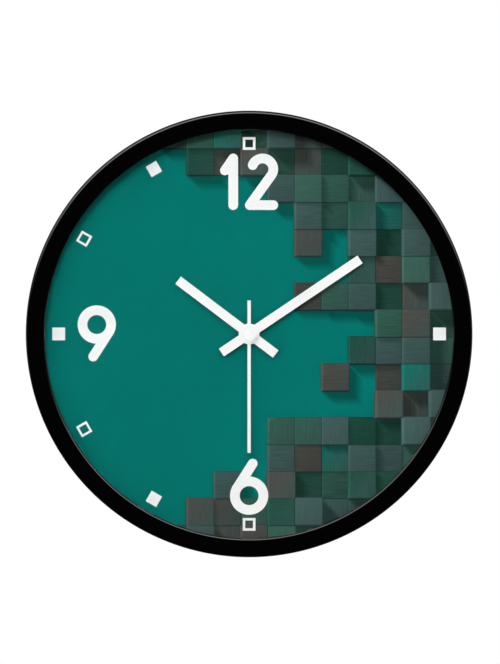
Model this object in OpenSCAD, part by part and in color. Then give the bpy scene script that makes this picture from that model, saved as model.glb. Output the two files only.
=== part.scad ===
// Round wall clock with a quartz movement, in millimetres.
// It is drawn lying on its back: x to the right, y up the dial and z out from the wall.
// Each sub-part is then stood up, so that the front faces -Y and the wall is the plane y = 0.

/* [Case] */
// Outside diameter of the case
case_d = 300; // [270:1:380]
// Width of the black band around the sight opening
band_w = 12.9; // [12.6:0.1:24]
// Wall of the bezel
rim_wall = 2.5; // [2.2:0.1:4]
// Thickness of the lip in front of the glass
lip_t = 2; // [1.8:0.1:4]
// Rounding of the outer front edge
outer_round = 2.2; // [0.6:0.1:2.4]
// Rounding of the inner front edge
inner_round = 1.6; // [0.4:0.1:1.8]
// Width of the ledge that the glass rests on
lens_seat = 3.9; // [2.5:0.1:4.2]
// Wall of the skirt that centres the glass, the spacer and the dial
skirt_t = 1.2; // [0.8:0.1:2]
// Thickness of the glass
lens_t = 2; // [1.5:0.1:4]
// Room for the hands between the dial and the glass
hand_room = 13.4; // [11:0.1:20]
// Free depth between the setting knob and the wall
back_gap = 0.9; // [0.5:0.1:20]
// Width of the spacer ring
spacer_w = 3; // [1.5:0.1:3.2]
// Thickness of the dial sheet
dial_t = 0.6; // [0.3:0.1:1.5]

/* [Back] */
// Thickness of the pan that carries the dial and the movement
pan_t = 2; // [1.6:0.1:3]
// Height of the stiffening ribs
rib_h = 4; // [2:0.5:8]
// Width of the stiffening ribs
rib_w = 1.6; // [1:0.1:3]
// Number of radial ribs
rib_count = 12; // [4:4:24]
// Number of pan screws
screw_count = 6; // [4:2:12]
// Head of a pan screw across
screw_head_d = 5.5; // [4:0.1:5.8]
// Shank of a pan screw across
screw_d = 2.4; // [2:0.1:3]
// Grip of a pan screw in its boss
screw_grip = 8; // [5:0.5:12]
// Boss that takes a pan screw, across
boss_d = 6; // [5:0.1:6.2]
// Round part of the keyhole across
keyhole_d = 9; // [7:0.1:12]
// Width of the keyhole slot
keyslot_w = 4.4; // [3:0.1:6]
// Distance from the keyhole's round part to the top of its slot
keyslot_rise = 10; // [8:0.5:14]
// Distance from the top of the case to the top of the slot
hang_drop = 28; // [24:1:60]
// Width inside the hanger box
hanger_w = 24; // [20:1:40]
// Wall of the hanger box
hanger_wall = 2; // [1.5:0.1:3]
// Rear wall of the hanger box, which bears on the wall screw
hanger_plate = 2.5; // [2:0.1:4]
// Gap between the hanger box and the wall
hanger_gap = 1.5; // [0.5:0.1:3]

/* [Hands] */
// Hour hand from the centre to its tip
hour_len = 60; // [40:1:80]
// Minute hand from the centre to its tip
minute_len = 90; // [60:1:120]
// Second hand from the centre to its tip
second_len = 80; // [50:1:120]
// Tail of each hand behind the centre
tail_len = 22.5; // [14:0.5:40]
// Width of the hour and minute hands
hand_w = 6.2; // [4:0.1:10]
// Width of the second hand
second_w = 2.2; // [1.2:0.1:4]
// Hub of the hour and minute hands across
hub_d = 14; // [12:0.5:20]
// Hub of the second hand across
second_hub_d = 10; // [7:0.5:14]
// Thickness of the stamped hands
hand_t = 0.6; // [0.4:0.1:1]
// Hour hand clockwise from twelve in degrees
hour_at = 307.1; // [0:0.1:360]
// Minute hand clockwise from twelve in degrees
minute_at = 56.1; // [0:0.1:360]
// Second hand clockwise from twelve in degrees
second_at = 180; // [0:0.1:360]

/* [Shafts] */
// Threaded bush across
bush_d = 8; // [7:0.1:10]
// Hour tube across
hour_tube_d = 5; // [4.6:0.1:5.4]
// Minute tube across
minute_tube_d = 3; // [2.6:0.1:3.2]
// Second arbor across
second_arbor_d = 1; // [0.8:0.05:1.2]
// Radial clearance of one shaft in the next
shaft_gap = 0.05; // [0.02:0.01:0.09]
// Pivots of the wheels across
pivot_d = 1; // [0.8:0.1:1.2]

/* [Wheel train] */
// Thickness of a wheel
wheel_t = 1; // [0.8:0.1:1.6]
// Free height between two wheels
level_gap = 0.7; // [0.5:0.1:1.2]
// Teeth of the rotor pinion
rotor_teeth = 8; // [8:1:10]
// Teeth of the step wheel
step_teeth = 48; // [40:1:56]
// Teeth of the step pinion
step_pinion_teeth = 10; // [8:1:12]
// Teeth of the second wheel
second_teeth = 50; // [40:1:56]
// Teeth of the second pinion
second_pinion_teeth = 8; // [8:1:9]
// Teeth of the third wheel
third_teeth = 64; // [56:1:66]
// Teeth of the third pinion
third_pinion_teeth = 8; // [8:1:9]
// Teeth of the centre wheel
centre_teeth = 60; // [56:1:64]
// Teeth of the cannon pinion
cannon_teeth = 10; // [10:1:12]
// Teeth of the minute wheel
minute_teeth = 30; // [28:1:32]
// Teeth of the minute pinion
minute_pinion_teeth = 10; // [8:1:12]
// Teeth of the hour wheel
hour_teeth = 40; // [36:1:44]
// Teeth of the setting pinion
knob_teeth = 12; // [10:1:14]
// Module of the rotor pinion and step wheel
step_module = 0.3; // [0.26:0.01:0.32]
// Module of the step pinion and second wheel
second_module = 0.3; // [0.3:0.01:0.34]
// Module of the second pinion and third wheel
third_module = 0.34; // [0.32:0.01:0.36]
// Module of the cannon pinion, minute wheel and setting pinion
motion_module = 0.5; // [0.48:0.01:0.54]
// Thinning of each tooth, which leaves the backlash
tooth_play = 0.05; // [0.03:0.01:0.08]

/* [Movement case] */
// Wall of the movement case
mv_wall = 1.4; // [1:0.1:2]
// Battery across
battery_d = 14.5; // [10.5:0.1:18]
// Battery from end to end
battery_len = 50.5; // [44.5:0.1:60]
// Room around the battery
battery_gap = 0.25; // [0.2:0.05:1]
// Room for the bowed contact behind the battery
spring_room = 1.9; // [1.5:0.1:4]
// Thickness of the contact strips
strip_t = 0.4; // [0.3:0.05:0.5]
// Thickness of the wheel plate
plate_t = 0.6; // [0.5:0.1:1]
// Rubber washer between the movement and the pan
gasket_t = 1; // [0.5:0.1:2]
// Setting knob across
knob_d = 11; // [8:0.5:13]
// Thickness of the setting knob
knob_t = 1.9; // [1.2:0.1:2.1]

/* [Motor] */
// Rotor magnet across
magnet_d = 5.6; // [4.6:0.1:6]
// Flange of the coil bobbin across
coil_d = 7.2; // [6:0.1:7.6]
// Length of the coil between its flanges
coil_len = 25; // [18:0.5:26]
// Thickness of the stator and the coil core
iron_t = 1; // [0.6:0.1:1.2]

/* [Hidden] */
$fn = 96;

// Small overlap that lets one cut run clear of a face
cut = 0.5;
// Least flat left beside a rounding
land = 0.1;
// End play of a wheel between its bearings
end_play = 0.2;

// Radii of the case
case_r = case_d / 2;
wall_r = case_r - rim_wall;
opening_r = case_r - band_w;
lens_r = opening_r + lens_seat;
pocket_gap = 0.25;
pocket_r = lens_r + pocket_gap;
pan_gap = 0.3;
pan_r = wall_r - pan_gap;
head_gap = 0.3;
boss_at = wall_r - head_gap - screw_head_d / 2;

// Levels of the movement, from the wall to its front face
step_room = 1.1;
knob_gap = 0.3;
level = wheel_t + level_gap;
flange_t = 0.9;
flange_over = 2;
flange_gap = 0.3;
z_knob = back_gap;
z_mv = z_knob + knob_t + knob_gap;
z_room = z_mv + mv_wall;
z_step = z_room + step_room;
z_second = z_step + level;
z_third = z_second + level;
z_centre = z_third + level;
z_plate = z_centre + level;
z_plate_front = z_plate + plate_t;
z_minute = z_plate_front + level_gap;
z_hour = z_minute + level;
z_inner = max(z_hour + wheel_t + flange_gap + flange_t, back_gap + battery_d + battery_gap);
z_mv_front = z_inner + mv_wall;

// Levels of the case, from the movement to the front of the bezel
z_pan_rear = z_mv_front + gasket_t;
z_pan = z_pan_rear + pan_t;
z_dial = z_pan + dial_t;
z_lens = z_dial + hand_room;
z_lip = z_lens + lens_t;
case_depth = z_lip + lip_t;

// Tooth form
pressure_angle = 30;
addendum = 0.8;
dedendum = 1;
flank_steps = 3;
pinion_over = 0.2;
pinion_h = level + wheel_t / 2 + pinion_over;
web_deep = 0.3;
web_rim = 0.8;
web_hub = 1.2;

// Modules that follow from a shared centre distance
third_dist = third_module * (second_pinion_teeth + third_teeth) / 2;
centre_module = 2 * third_dist / (third_pinion_teeth + centre_teeth);
minute_dist = motion_module * (cannon_teeth + minute_teeth) / 2;
hour_module = 2 * minute_dist / (minute_pinion_teeth + hour_teeth);
step_dist = second_module * (step_pinion_teeth + second_teeth) / 2;
rotor_dist = step_module * (rotor_teeth + step_teeth) / 2;
knob_dist = motion_module * (minute_teeth + knob_teeth) / 2;

// Directions from one axis to the next
third_dir = 30;
step_dir = 120;
rotor_dir = 150;
minute_dir = 160;
knob_dir = 180;

// Places of the axes, from the centre of the dial
third_pos = polar(third_dist, third_dir);
step_pos = polar(step_dist, step_dir);
rotor_pos = step_pos + polar(rotor_dist, rotor_dir);
minute_pos = polar(minute_dist, minute_dir);
knob_pos = minute_pos + polar(knob_dist, knob_dir);

// Turn of each gear at rest, so that every pair is in mesh
step_pinion_turn = mesh_turn(second_teeth, 0, step_pinion_teeth, step_dir);
rotor_turn = mesh_turn(step_teeth, 0, rotor_teeth, rotor_dir);
third_turn = mesh_turn(second_pinion_teeth, 0, third_teeth, third_dir);
centre_turn = mesh_turn(third_pinion_teeth, 0, centre_teeth, third_dir + 180);
minute_turn = mesh_turn(cannon_teeth, 0, minute_teeth, minute_dir);
hour_turn = mesh_turn(minute_pinion_teeth, 0, hour_teeth, minute_dir + 180);
knob_turn = mesh_turn(minute_teeth, minute_turn, knob_teeth, knob_dir);

// Plan of the movement case
wheel_clear = 0.35;
room_half_w = (battery_len + 2 * strip_t + spring_room) / 2;
mv_half_w = room_half_w + mv_wall;
room_low = -tip_r(centre_teeth, centre_module) - wheel_clear;
bay_high = room_low - mv_wall;
bay_low = bay_high - battery_d - 2 * battery_gap;
mv_low = bay_low - mv_wall;
coil_reach = 8.4;
coil_clear = 1.4;
coil_y = rotor_pos.y + coil_reach;
room_high = coil_y + coil_d / 2 + coil_clear;
mv_high = room_high + mv_wall;
mv_corner = 2;
battery_y = (bay_high + bay_low) / 2;
battery_z = z_inner - battery_gap - battery_d / 2;
notch_r = battery_d / 2 + 1;

// Plan of the motor
coil_off = 4;
coil_x = rotor_pos.x + coil_off;
flange_w = 1.2;
core_w = 3;
core_over = 3.4;
core_half = coil_len / 2 + flange_w + core_over;
core_gap = 0.05;
tube_r = 1.9;
winding_under = 0.4;
winding_r = coil_d / 2 - winding_under;
post_in = 1.7;
motor_post_r = 1.5;
motor_pin_r = 0.8;
post_x = [coil_x - core_half + post_in, coil_x + core_half - post_in];
stator_gap = 0.3;
z_stator = z_third - stator_gap - iron_t;
z_core = z_stator + iron_t;
magnet_gap = 0.5;
stator_ring_w = 1.15;
stator_r = magnet_d / 2 + magnet_gap + stator_ring_w;
pole_at = [-3, 3];
stator_run_y = coil_y - coil_d / 2 - stator_gap - core_w / 2;
magnet_over = 0.7;

// Circuit board in the upper right corner
board_t = 1;
board_gap = 0.6;
board_clear = 0.8;
board_left = coil_x + core_half + board_clear;
board_right = room_half_w - strip_t;
board_low = third_pos.y + tip_r(third_teeth, third_module) + board_clear;
board_high = room_high - strip_t;
z_board = z_room + board_gap;

// Contact strips
leg_w = 3;
strip_in = 2;
cell_play = 0.1;
z_leg = z_plate - leg_w / 2;

// Snap tongues of the cover
tongue_w = 5;
tongue_t = 0.9;
tongue_len = 5;
tongue_gap = 0.15;
barb_h = 1.2;
barb_out = 0.8;
window_gap = 0.2;
tongue_in = [6, 5];
tongue_y = [room_low + tongue_in.x, coil_y - tongue_in.y];

// Bearings and studs
running = 0.05;
pivot_r = pivot_d / 2;
bearing_r = pivot_r + running;
bearing_wall = 0.9;
bearing_floor = 0.5;
cup_gap = 0.4;
stud_gap = 0.3;
z_pivot = z_mv + bearing_floor + end_play;
knob_stem_r = 1.6;
knob_boss_h = 1;
stem_gap = 0.3;
plate_post_r = 1.6;
plate_pin_r = 0.8;
pin_rise = 0.3;
plate_in = [1.2, 0.4];
plate_side = room_half_w - plate_in.x;
plate_low = room_low + plate_in.y;
plate_high = coil_y - coil_d / 2 - cut;
post_side = plate_side - 3.4;
post_low = plate_low + 2.6;
post_high = plate_high - 3.4;
plate_posts = [for (x = [-post_side, post_side], y = [post_low, post_high]) [x, y]];

// Nested shafts
second_r = second_arbor_d / 2;
minute_r = minute_tube_d / 2;
hour_r = hour_tube_d / 2;
bush_r = bush_d / 2;
bush_hole_gap = 0.1;
bush_hole_r = bush_r + bush_hole_gap;

// Clamp stack on the front of the dial
gasket_w = 6;
washer_t = 0.6;
nut_t = 2.4;
nut_flats = bush_d + 2;
nut_slope = 30;
washer_r = bush_r + 2.4;
thread_over = 1;
z_washer = z_dial;
z_nut = z_washer + washer_t;
z_bush_end = z_nut + nut_t + thread_over;

// Hands, back to front
hand_gap = 0.6;
collet_t = 1.2;
collet_flange = 0.4;
collet_over = 1;
collet_wall = 1.1;
z_hour_collet = z_bush_end + end_play + land;
z_hour_hand = z_hour_collet + collet_flange;
z_hour_end = z_hour_collet + collet_t;
z_minute_collet = z_hour_end + hand_gap;
z_minute_hand = z_minute_collet + collet_flange;
z_minute_end = z_minute_collet + collet_t;
z_second_tube = z_minute_end + hand_gap;
second_tube_len = 1.4;
second_tube_wall = 0.6;
z_second_hand = z_second_tube + second_tube_len - hand_t;
z_second_end = z_second_tube + second_tube_len;
cap_h = 0.8;
cap_d = second_hub_d - 3;

// Pan details
pocket_rib_gap = 0.4;
rib_space = [2, 3];
rib_ring_in = norm([mv_half_w, mv_low]) + pocket_rib_gap + rib_w + rib_space.x;
rib_ring_out = pocket_r - rib_space.y;
rib_ring_mid = (rib_ring_in + rib_ring_out) / 2;
slot_top_y = case_r - hang_drop;
keyhole_y = slot_top_y - keyslot_rise;
hanger_clear = 4;
hanger_low = keyhole_y - keyhole_d / 2 - hanger_clear;
hanger_high = slot_top_y + keyslot_w / 2 + hanger_clear;
screw_head_h = 1.8;
screw_hole_gap = 0.2;
screw_bevel = [0.5, 0.7];
screw_point = 1.2;
tip_room = 1;
cross_w = 0.8;
cross_len = 3;
cross_deep = 1;

// Point at a distance and an angle from the centre
function polar(r, a) = r * [cos(a), sin(a)];

// Involute of an angle in degrees, as an angle in degrees
function involute(a) = tan(a) * 180 / PI - a;

// Radius of the tooth tips
function tip_r(teeth, module_mm) = module_mm * (teeth / 2 + addendum);

// Radius of the tooth roots
function root_r(teeth, module_mm) = module_mm * (teeth / 2 - dedendum);

// Half the angle that a tooth takes at radius r
function half_tooth(teeth, module_mm, r) =
    let (pitch_r = teeth * module_mm / 2)
    let (at_r = acos(min(1, pitch_r * cos(pressure_angle) / r)))
    90 / teeth - tooth_play / 2 / pitch_r * 180 / PI + involute(pressure_angle) - involute(at_r);

// Radii along one flank, with the root first
function flank_radii(teeth, module_mm) =
    let (root = root_r(teeth, module_mm), tip = tip_r(teeth, module_mm))
    let (start = max(root, teeth * module_mm / 2 * cos(pressure_angle)))
    concat(start > root ? [root] : [], [for (k = [0:flank_steps]) start + (tip - start) * k / flank_steps]);

// Outline of a gear with a tooth centred on the x axis
function gear_points(teeth, module_mm) =
    let (radii = flank_radii(teeth, module_mm), last = len(radii) - 1)
    let (start = max(root_r(teeth, module_mm), teeth * module_mm / 2 * cos(pressure_angle)))
    [
        for (i = [0:teeth - 1])
        for (side = [-1, 1])
        for (k = [0:last])
        let (r = radii[side < 0 ? k : last - k])
        polar(r, 360 * i / teeth + side * half_tooth(teeth, module_mm, max(r, start)))
    ];

// Turn of a gear that meshes with another, which lies the other way along dir and is turned by turn_a
function mesh_turn(teeth_a, turn_a, teeth_b, dir) =
    dir + 180 - (0.5 - (dir - turn_a) * teeth_a / 360) * 360 / teeth_b;

// Stands a piece up from its back, front to -Y
module upright() {
    rotate([90, 0, 0])
        children();
}

// Moves a piece to an axis and a height
module at(pos, z) {
    translate([pos.x, pos.y, z])
        children();
}

// Toothed disc
module gear(teeth, module_mm, height, turn) {
    linear_extrude(height)
        rotate(turn)
            polygon(gear_points(teeth, module_mm));
}

// Wheel with its web relieved at the rear, between the rim and a hub
module wheel(teeth, module_mm, turn, hub) {
    difference() {
        gear(teeth, module_mm, wheel_t, turn);
        translate([0, 0, web_deep - cut])
            ring(root_r(teeth, module_mm) - web_rim, hub, cut);
    }
}

// Flat ring
module ring(outer, inner, height) {
    linear_extrude(height)
        difference() {
            circle(outer);
            circle(inner);
        }
}

// Box between two corners
module block(low, high) {
    translate(low)
        cube(high - low);
}

// Rectangle with round corners, as a plate
module round_plate(low, high, corner, height) {
    linear_extrude(height) {
        translate([low.x + corner, low.y])
            square([high.x - low.x - 2 * corner, high.y - low.y]);
        translate([low.x, low.y + corner])
            square([high.x - low.x, high.y - low.y - 2 * corner]);
        for (x = [low.x + corner, high.x - corner], y = [low.y + corner, high.y - corner])
            translate([x, y])
                circle(corner);
    }
}

// Angles of the pan screws
screw_angles = [for (i = [0:screw_count - 1]) 360 * i / screw_count];

// Section of the bezel, with radius along x and height along y
module bezel_section() {
    edge = min(outer_round, rim_wall, lip_t + cut);
    bead = min(inner_round, lip_t - land);
    translate([wall_r, 0])
        square([rim_wall, case_depth - edge]);
    translate([opening_r + bead, z_lip])
        square([case_r - edge - opening_r - bead, lip_t]);
    translate([opening_r, z_lip])
        square([bead, lip_t - bead]);
    translate([opening_r + bead, case_depth - bead])
        circle(bead);
    translate([case_r - edge, case_depth - edge])
        circle(edge);
    translate([pocket_r, z_pan])
        square([skirt_t, z_lip - z_pan]);
}

module bezel() {
    color([0.02, 0.02, 0.02])
        upright()
            difference() {
                union() {
                    rotate_extrude()
                        bezel_section();
                    for (a = screw_angles)
                        at(polar(boss_at, a), z_pan)
                            cylinder(d = boss_d, h = z_lip - z_pan);
                }
                for (a = screw_angles)
                    at(polar(boss_at, a), z_pan - cut)
                        cylinder(d = screw_d, h = screw_grip + tip_room + cut);
                translate([0, 0, z_pan - cut])
                    cylinder(r = pocket_r, h = z_lip - z_pan + cut);
            }
}

module lens() {
    color([0.85, 0.93, 0.95, 0.3])
        upright()
            translate([0, 0, z_lens])
                cylinder(r = lens_r, h = lens_t);
}

module spacer_ring() {
    color([0.03, 0.03, 0.03])
        upright()
            translate([0, 0, z_dial])
                ring(lens_r, lens_r - spacer_w, hand_room);
}

module dial() {
    color([0.02, 0.44, 0.41])
        upright()
            translate([0, 0, z_pan])
                ring(lens_r, bush_hole_r, dial_t);
}

// Keyhole outline: round entry with a slot above it
module keyhole() {
    translate([0, keyhole_y])
        circle(d = keyhole_d);
    translate([-keyslot_w / 2, keyhole_y])
        square([keyslot_w, keyslot_rise]);
    translate([0, slot_top_y])
        circle(d = keyslot_w);
}

// Section of the pan with its ring ribs, with radius along x and height along y
module pan_section() {
    translate([bush_hole_r, z_pan_rear])
        square([pan_r - bush_hole_r, pan_t]);
    for (r = [rib_ring_in, rib_ring_mid, rib_ring_out])
        translate([r, z_pan_rear - rib_h])
            square([rib_w, rib_h + pan_t / 2]);
}

// Radial ribs between the inner and the outer ring rib
module radial_ribs() {
    for (i = [0:rib_count - 1])
        rotate((i + 0.5) * 360 / rib_count)
            block(
                [rib_ring_in + rib_w / 2, -rib_w / 2, z_pan_rear - rib_h],
                [rib_ring_out + rib_w / 2, rib_w / 2, z_pan - pan_t / 2]
            );
}

// Upright walls that keep the movement from turning
module movement_frame() {
    half = mv_half_w + pocket_rib_gap;
    low = mv_low - pocket_rib_gap;
    high = mv_high + pocket_rib_gap;
    difference() {
        block(
            [-half - rib_w, low - rib_w, z_pan_rear - rib_h],
            [half + rib_w, high + rib_w, z_pan - pan_t / 2]
        );
        block([-half, low, z_pan_rear - rib_h - cut], [half, high, z_pan_rear]);
    }
}

// Hollow box behind the top of the dial, open to the front
module hanger_box() {
    half = hanger_w / 2;
    block(
        [-half - hanger_wall, hanger_low - hanger_wall, hanger_gap],
        [half + hanger_wall, hanger_high + hanger_wall, z_pan - pan_t / 2]
    );
}

// Space inside the hanger box
module hanger_hollow() {
    half = hanger_w / 2;
    block([-half, hanger_low, hanger_gap + hanger_plate], [half, hanger_high, z_pan + cut]);
}

module back_pan() {
    color([0.07, 0.07, 0.075])
        upright()
            difference() {
                union() {
                    rotate_extrude()
                        pan_section();
                    radial_ribs();
                    movement_frame();
                    hanger_box();
                }
                hanger_hollow();
                translate([0, 0, hanger_gap - cut])
                    linear_extrude(hanger_plate + 2 * cut)
                        keyhole();
                translate([0, 0, z_pan_rear - cut])
                    cylinder(r = bush_hole_r, h = pan_t + 2 * cut);
                for (a = screw_angles)
                    at(polar(boss_at, a), z_pan_rear - cut)
                        cylinder(r = screw_d / 2 + screw_hole_gap, h = pan_t + 2 * cut);
            }
}

// Cross recess in the head of a pan screw
module cross_recess() {
    for (turn = [45, 135])
        rotate(turn)
            block(
                [-cross_len / 2, -cross_w / 2, -screw_head_h - cut],
                [cross_len / 2, cross_w / 2, cross_deep - screw_head_h]
            );
}

module pan_screws() {
    shank = pan_t + screw_grip;
    color([0.6, 0.6, 0.62])
        upright()
            for (a = screw_angles)
                at(polar(boss_at, a), z_pan_rear)
                    difference() {
                        rotate_extrude()
                            polygon([
                                [0, -screw_head_h],
                                [screw_head_d / 2 - screw_bevel.x, -screw_head_h],
                                [screw_head_d / 2, -screw_head_h + screw_bevel.y],
                                [screw_head_d / 2, 0],
                                [screw_d / 2, 0],
                                [screw_d / 2, shank - screw_point],
                                [0, shank]
                            ]);
                        cross_recess();
                    }
}

module rubber_washer() {
    color([0.05, 0.05, 0.05])
        upright()
            translate([0, 0, z_mv_front])
                ring(bush_r + gasket_w, bush_hole_r, gasket_t);
}

module nut_washer() {
    color([0.75, 0.68, 0.4])
        upright()
            translate([0, 0, z_washer])
                ring(washer_r, bush_hole_r, washer_t);
}

module centre_nut() {
    face = nut_flats / 2 - land;
    corner = nut_flats / 2 / cos(30);
    color([0.78, 0.66, 0.32])
        upright()
            translate([0, 0, z_nut])
                difference() {
                    intersection() {
                        cylinder(r = corner, h = nut_t + cut, $fn = 6);
                        rotate_extrude()
                            polygon([
                                [0, -cut],
                                [corner + cut, -cut],
                                [corner + cut, nut_t - (corner + cut - face) * tan(nut_slope)],
                                [face, nut_t],
                                [0, nut_t]
                            ]);
                    }
                    translate([0, 0, -cut])
                        cylinder(r = bush_r, h = nut_t + 2 * cut);
                }
}

module centre_bush() {
    color([0.8, 0.68, 0.35])
        upright()
            difference() {
                union() {
                    translate([0, 0, z_inner - flange_t])
                        cylinder(r = bush_r + flange_over, h = flange_t);
                    translate([0, 0, z_inner])
                        cylinder(r = bush_r, h = z_bush_end - z_inner);
                }
                translate([0, 0, z_inner - flange_t - cut])
                    cylinder(r = hour_r + shaft_gap, h = z_bush_end - z_inner + flange_t + 2 * cut);
            }
}

// Posts that carry the wheel plate, with a pin at the end of each
module plate_supports() {
    for (p = plate_posts) {
        at(p, z_plate_front)
            cylinder(r = plate_post_r, h = z_inner - z_plate_front + cut);
        at(p, z_plate - pin_rise)
            cylinder(r = plate_pin_r, h = z_inner - z_plate + cut);
    }
}

// Posts that carry the coil core and the stator
module motor_supports() {
    for (x = post_x) {
        at([x, coil_y], z_core + iron_t)
            cylinder(r = motor_post_r, h = z_inner - z_core - iron_t + cut);
        at([x, coil_y], z_stator - pin_rise)
            cylinder(r = motor_pin_r, h = z_inner - z_stator + cut);
    }
}

// Windows in the side walls that take the cover's barbs
module snap_windows() {
    for (side = [-1, 1], y = tongue_y)
        translate([side * (room_half_w + mv_wall / 2), y, z_room + tongue_len - barb_h / 2])
            cube([mv_wall + 2 * cut, tongue_w + 2 * window_gap, barb_h + 2 * window_gap], center = true);
}

module movement_case() {
    depth = z_mv_front - z_room;
    slot = [strip_t + 0.01, mv_wall + cut, leg_w + 2 * window_gap];
    color([0.09, 0.09, 0.1])
        upright()
            difference() {
                union() {
                    difference() {
                        translate([0, 0, z_room])
                            round_plate([-mv_half_w, mv_low], [mv_half_w, mv_high], mv_corner, depth);
                        block([-room_half_w, room_low, z_room - cut], [room_half_w, room_high, z_inner]);
                        block([-room_half_w, bay_low, z_room - cut], [room_half_w, bay_high, z_inner]);
                    }
                    plate_supports();
                    motor_supports();
                    at(minute_pos, z_plate_front + end_play)
                        cylinder(r = pivot_r, h = z_inner - z_plate_front);
                    at(knob_pos, z_inner - knob_boss_h)
                        cylinder(r = pivot_r + 2 * bearing_wall, h = knob_boss_h + cut);
                }
                translate([0, 0, z_inner - cut])
                    cylinder(r = bush_r, h = mv_wall + 2 * cut);
                at(knob_pos, z_inner - knob_boss_h - cut)
                    cylinder(r = bearing_r, h = knob_boss_h + cut);
                for (side = [-1, 1])
                    at([side * (room_half_w - strip_t / 2), bay_high + mv_wall / 2], z_leg + leg_w / 2)
                        cube(slot, center = true);
                snap_windows();
                translate([0, mv_low - cut, z_room])
                    rotate([-90, 0, 0])
                        cylinder(r = notch_r, h = mv_wall + 2 * cut);
            }
}

// Tongue with a barb, on the inner face of the right wall
module tongue() {
    face = room_half_w - tongue_gap;
    translate([0, tongue_w / 2, 0])
        rotate([90, 0, 0])
            linear_extrude(tongue_w)
                polygon([
                    [face - tongue_t, z_room - cut],
                    [face, z_room - cut],
                    [face, z_room + tongue_len - barb_h],
                    [face + barb_out, z_room + tongue_len - barb_h],
                    [face, z_room + tongue_len],
                    [face - tongue_t, z_room + tongue_len]
                ]);
}

// Bearing cup on the inner face of the cover
module cup(pos, height) {
    at(pos, z_room - cut)
        cylinder(r = bearing_r + bearing_wall, h = height + cut);
}

module movement_cover() {
    cup_h = step_room - cup_gap;
    stem_hole = knob_stem_r + running;
    color([0.11, 0.11, 0.12])
        upright()
            difference() {
                union() {
                    translate([0, 0, z_mv])
                        round_plate([-mv_half_w, bay_high], [mv_half_w, mv_high], mv_corner, mv_wall);
                    cup([0, 0], cup_h);
                    cup(third_pos, cup_h);
                    cup(rotor_pos, cup_h);
                    at(step_pos, z_room - cut)
                        cylinder(r = pivot_r, h = z_third - stud_gap - z_room + cut);
                    for (y = tongue_y) {
                        translate([0, y, 0])
                            tongue();
                        translate([0, y, 0])
                            mirror([1, 0, 0])
                                tongue();
                    }
                }
                for (p = [[0, 0], third_pos, rotor_pos])
                    at(p, z_mv + bearing_floor)
                        cylinder(r = bearing_r, h = mv_wall + cup_h);
                at(knob_pos, z_mv - cut)
                    cylinder(r = stem_hole, h = mv_wall + 2 * cut);
            }
}

module wheel_plate() {
    color([0.82, 0.82, 0.78])
        upright()
            difference() {
                translate([0, 0, z_plate])
                    round_plate([-plate_side, plate_low], [plate_side, plate_high], mv_corner, plate_t);
                for (p = plate_posts)
                    at(p, z_plate - cut)
                        cylinder(r = plate_pin_r, h = plate_t + 2 * cut);
                for (p = [third_pos, rotor_pos])
                    at(p, z_plate - cut)
                        cylinder(r = bearing_r, h = plate_t + 2 * cut);
                translate([0, 0, z_plate - cut])
                    cylinder(r = minute_r + shaft_gap, h = plate_t + 2 * cut);
                at(knob_pos, z_plate - cut)
                    cylinder(r = knob_stem_r + stem_gap, h = plate_t + 2 * cut);
            }
}

// Flat bar between two points, with round ends
module bar(from, to, width) {
    span = to - from;
    translate(from)
        rotate(atan2(span.y, span.x))
            translate([0, -width / 2])
                square([norm(span), width]);
    translate(from)
        circle(width / 2);
    translate(to)
        circle(width / 2);
}

module stator() {
    color([0.62, 0.63, 0.66])
        upright()
            translate([0, 0, z_stator])
                linear_extrude(iron_t)
                    difference() {
                        union() {
                            translate(rotor_pos)
                                circle(stator_r);
                            for (i = [0, 1])
                                translate([0, stator_run_y]) {
                                    bar([post_x[i], coil_y - stator_run_y], [post_x[i], 0], core_w);
                                    bar([post_x[i], 0], [rotor_pos.x + pole_at[i], 0], core_w);
                                }
                        }
                        translate(rotor_pos)
                            circle(magnet_d / 2 + magnet_gap);
                        for (x = post_x)
                            translate([x, coil_y])
                                circle(motor_pin_r);
                    }
}

module coil_core() {
    color([0.55, 0.56, 0.6])
        upright()
            translate([0, 0, z_core])
                linear_extrude(iron_t)
                    difference() {
                        translate([coil_x - core_half, coil_y - core_w / 2])
                            square([2 * core_half, core_w]);
                        for (x = post_x)
                            translate([x, coil_y])
                                circle(motor_pin_r);
                    }
}

// Turns a piece drawn along z to lie along the coil
module along_coil() {
    translate([coil_x, coil_y, z_core + iron_t / 2])
        rotate([0, 90, 0])
            children();
}

module coil_bobbin() {
    half = coil_len / 2 + flange_w;
    color([0.9, 0.9, 0.86])
        upright()
            difference() {
                along_coil()
                    union() {
                        translate([0, 0, -half])
                            cylinder(r = tube_r, h = 2 * half);
                        for (z = [-half, half - flange_w])
                            translate([0, 0, z])
                                cylinder(d = coil_d, h = flange_w);
                    }
                block(
                    [coil_x - half - cut, coil_y - core_w / 2 - core_gap, z_core - core_gap],
                    [coil_x + half + cut, coil_y + core_w / 2 + core_gap, z_core + iron_t + core_gap]
                );
            }
}

module coil_winding() {
    color([0.72, 0.4, 0.2])
        upright()
            along_coil()
                translate([0, 0, -coil_len / 2])
                    ring(winding_r, tube_r, coil_len);
}

module circuit_board() {
    color([0.2, 0.42, 0.25])
        upright()
            block([board_left, board_low, z_board], [board_right, board_high, z_board + board_t]);
}

module quartz_crystal() {
    can_d = 2;
    can_len = 6;
    can_in = [1.5, 2];
    color([0.75, 0.76, 0.78])
        upright()
            at([board_right - can_len - can_in.x, board_high - can_in.y], z_board + board_t + can_d / 2)
                rotate([0, 90, 0])
                    cylinder(d = can_d, h = can_len);
}

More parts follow.
